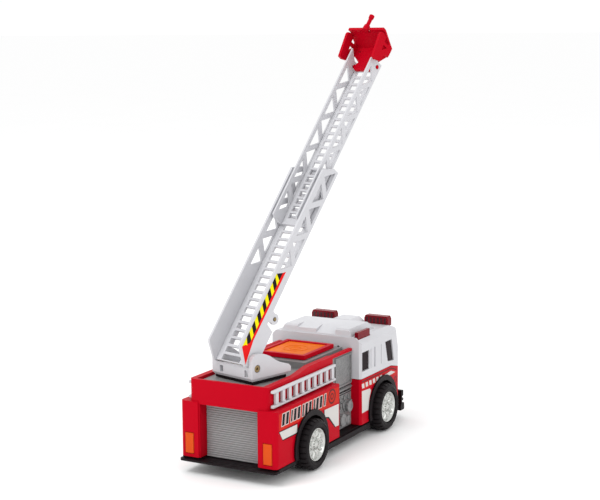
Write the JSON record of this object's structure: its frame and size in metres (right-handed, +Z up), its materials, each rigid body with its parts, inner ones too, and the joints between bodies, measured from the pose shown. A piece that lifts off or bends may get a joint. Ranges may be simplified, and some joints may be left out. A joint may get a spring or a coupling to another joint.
{
  "type": "toy fire engine",
  "caption": "Toy fire engine with swivelling, raising and extending ladder, tilting basket, press button and rolling wheels.",
  "frame": {"origin": "centre of the bounding box's bottom at rest, on the ground under the wheels", "axes": "+Z up, -Y towards the front of the truck, +X towards the truck's left side"},
  "size_m": [0.0726, 0.1572, 0.2393],
  "materials": {
    "red_plastic": "moulded gloss ABS",
    "white_plastic": "moulded satin ABS",
    "grey_plastic": "moulded satin ABS",
    "black_plastic": "moulded satin polypropylene",
    "tyre_plastic": "satin black, moulded tread",
    "chrome_hub": "vacuum-metallised plastic",
    "steel": "zinc-plated",
    "brass": "plain",
    "orange_lens": "translucent, polished",
    "red_lens": "translucent, polished",
    "window_glass": "dark tinted, polished",
    "board": "solder-masked laminate",
    "diode": "clear epoxy"
  },
  "bodies": {
    "truck": {"chassis": "black_plastic", "front_bumper": "black_plastic", "rear_step": "black_plastic", "battery_cover": "black_plastic", "battery_holder": "black_plastic", "speaker": "black_plastic", "battery_cell_1": "steel", "battery_cell_2": "steel", "battery_cell_3": "steel", "body_shell": "red_plastic", "deck": "grey_plastic", "roller_shutter": "grey_plastic", "button_bezel": "red_plastic", "button_spring": "steel", "circuit_board": "board", "tact_switch": "black_plastic", "light_diode": "diode", "cab_lower": "red_plastic", "cab_upper": "white_plastic", "cab_windows": "window_glass", "side_beacon": "red_lens", "rear_lamp_left": "orange_lens", "rear_lamp_right": "orange_lens", "side_ladder_left": "white_plastic", "side_ladder_right": "white_plastic", "pump_panel_left": "grey_plastic", "pump_panel_right": "grey_plastic", "front_beacon_left": "red_lens", "front_beacon_right": "red_lens", "chassis_screw_rear_left": "steel", "chassis_screw_rear_right": "steel", "chassis_screw_front_left": "steel", "chassis_screw_front_right": "steel", "front_arch_trim_left": "black_plastic", "front_arch_trim_right": "black_plastic", "rear_arch_trim_left": "black_plastic", "rear_arch_trim_right": "black_plastic"},
    "front_wheels": {"front_axle": "steel", "front_tyre_left": "tyre_plastic", "front_tyre_right": "tyre_plastic", "front_hub_left": "chrome_hub", "front_hub_right": "chrome_hub"},
    "rear_wheels": {"rear_axle": "steel", "rear_tyre_left": "tyre_plastic", "rear_tyre_right": "tyre_plastic", "rear_hub_left": "chrome_hub", "rear_hub_right": "chrome_hub"},
    "button": {"button_lens": "orange_lens"},
    "turntable": {"turntable": "white_plastic", "turntable_screw": "steel", "ladder_pin": "brass"},
    "ladder": {"lower_ladder_floor": "white_plastic", "lower_ladder_wall_left": "white_plastic", "lower_ladder_wall_right": "white_plastic", "lug_pin": "brass"},
    "extension": {"extension_floor": "white_plastic", "extension_wall_left": "white_plastic", "extension_wall_right": "white_plastic"},
    "basket": {"basket": "red_plastic", "water_cannon": "red_plastic"}
  },
  "joints": [
    {"name": "front_wheels_roll", "type": "hinge", "parent": "truck", "child": "front_wheels", "pos_m": [0.00237, -0.04665, 0.0138], "axis": [1, 0, 0], "continuous": true},
    {"name": "rear_wheels_roll", "type": "hinge", "parent": "truck", "child": "rear_wheels", "pos_m": [0.00237, 0.04035, 0.0138], "axis": [1, 0, 0], "continuous": true},
    {"name": "button_press", "type": "slide", "parent": "truck", "child": "button", "axis": [0, 0, -1], "range_m": [0, 0.0012], "stiffness_N_per_m": 800, "springref_m": -0.0006, "deforming": ["button_spring"]},
    {"name": "turntable_swivel", "type": "hinge", "parent": "truck", "child": "turntable", "pos_m": [0.00237, 0.05509, 0], "axis": [0, 0, 1], "continuous": true},
    {"name": "ladder_raise", "type": "hinge", "parent": "turntable", "child": "ladder", "pos_m": [0.00447, 0.06291, 0.05813], "axis": [0.9659, -0.2588, 0], "range_deg": [0, 50.7]},
    {"name": "ladder_extend", "type": "slide", "parent": "ladder", "child": "extension", "axis": [-0.1532, -0.5718, 0.8059], "range_m": [-0.064, 0]},
    {"name": "basket_tilt", "type": "hinge", "parent": "extension", "child": "basket", "pos_m": [-0.02159, -0.03435, 0.21024], "axis": [0.9659, -0.2588, 0], "range_deg": [0, 40]}
  ]
}
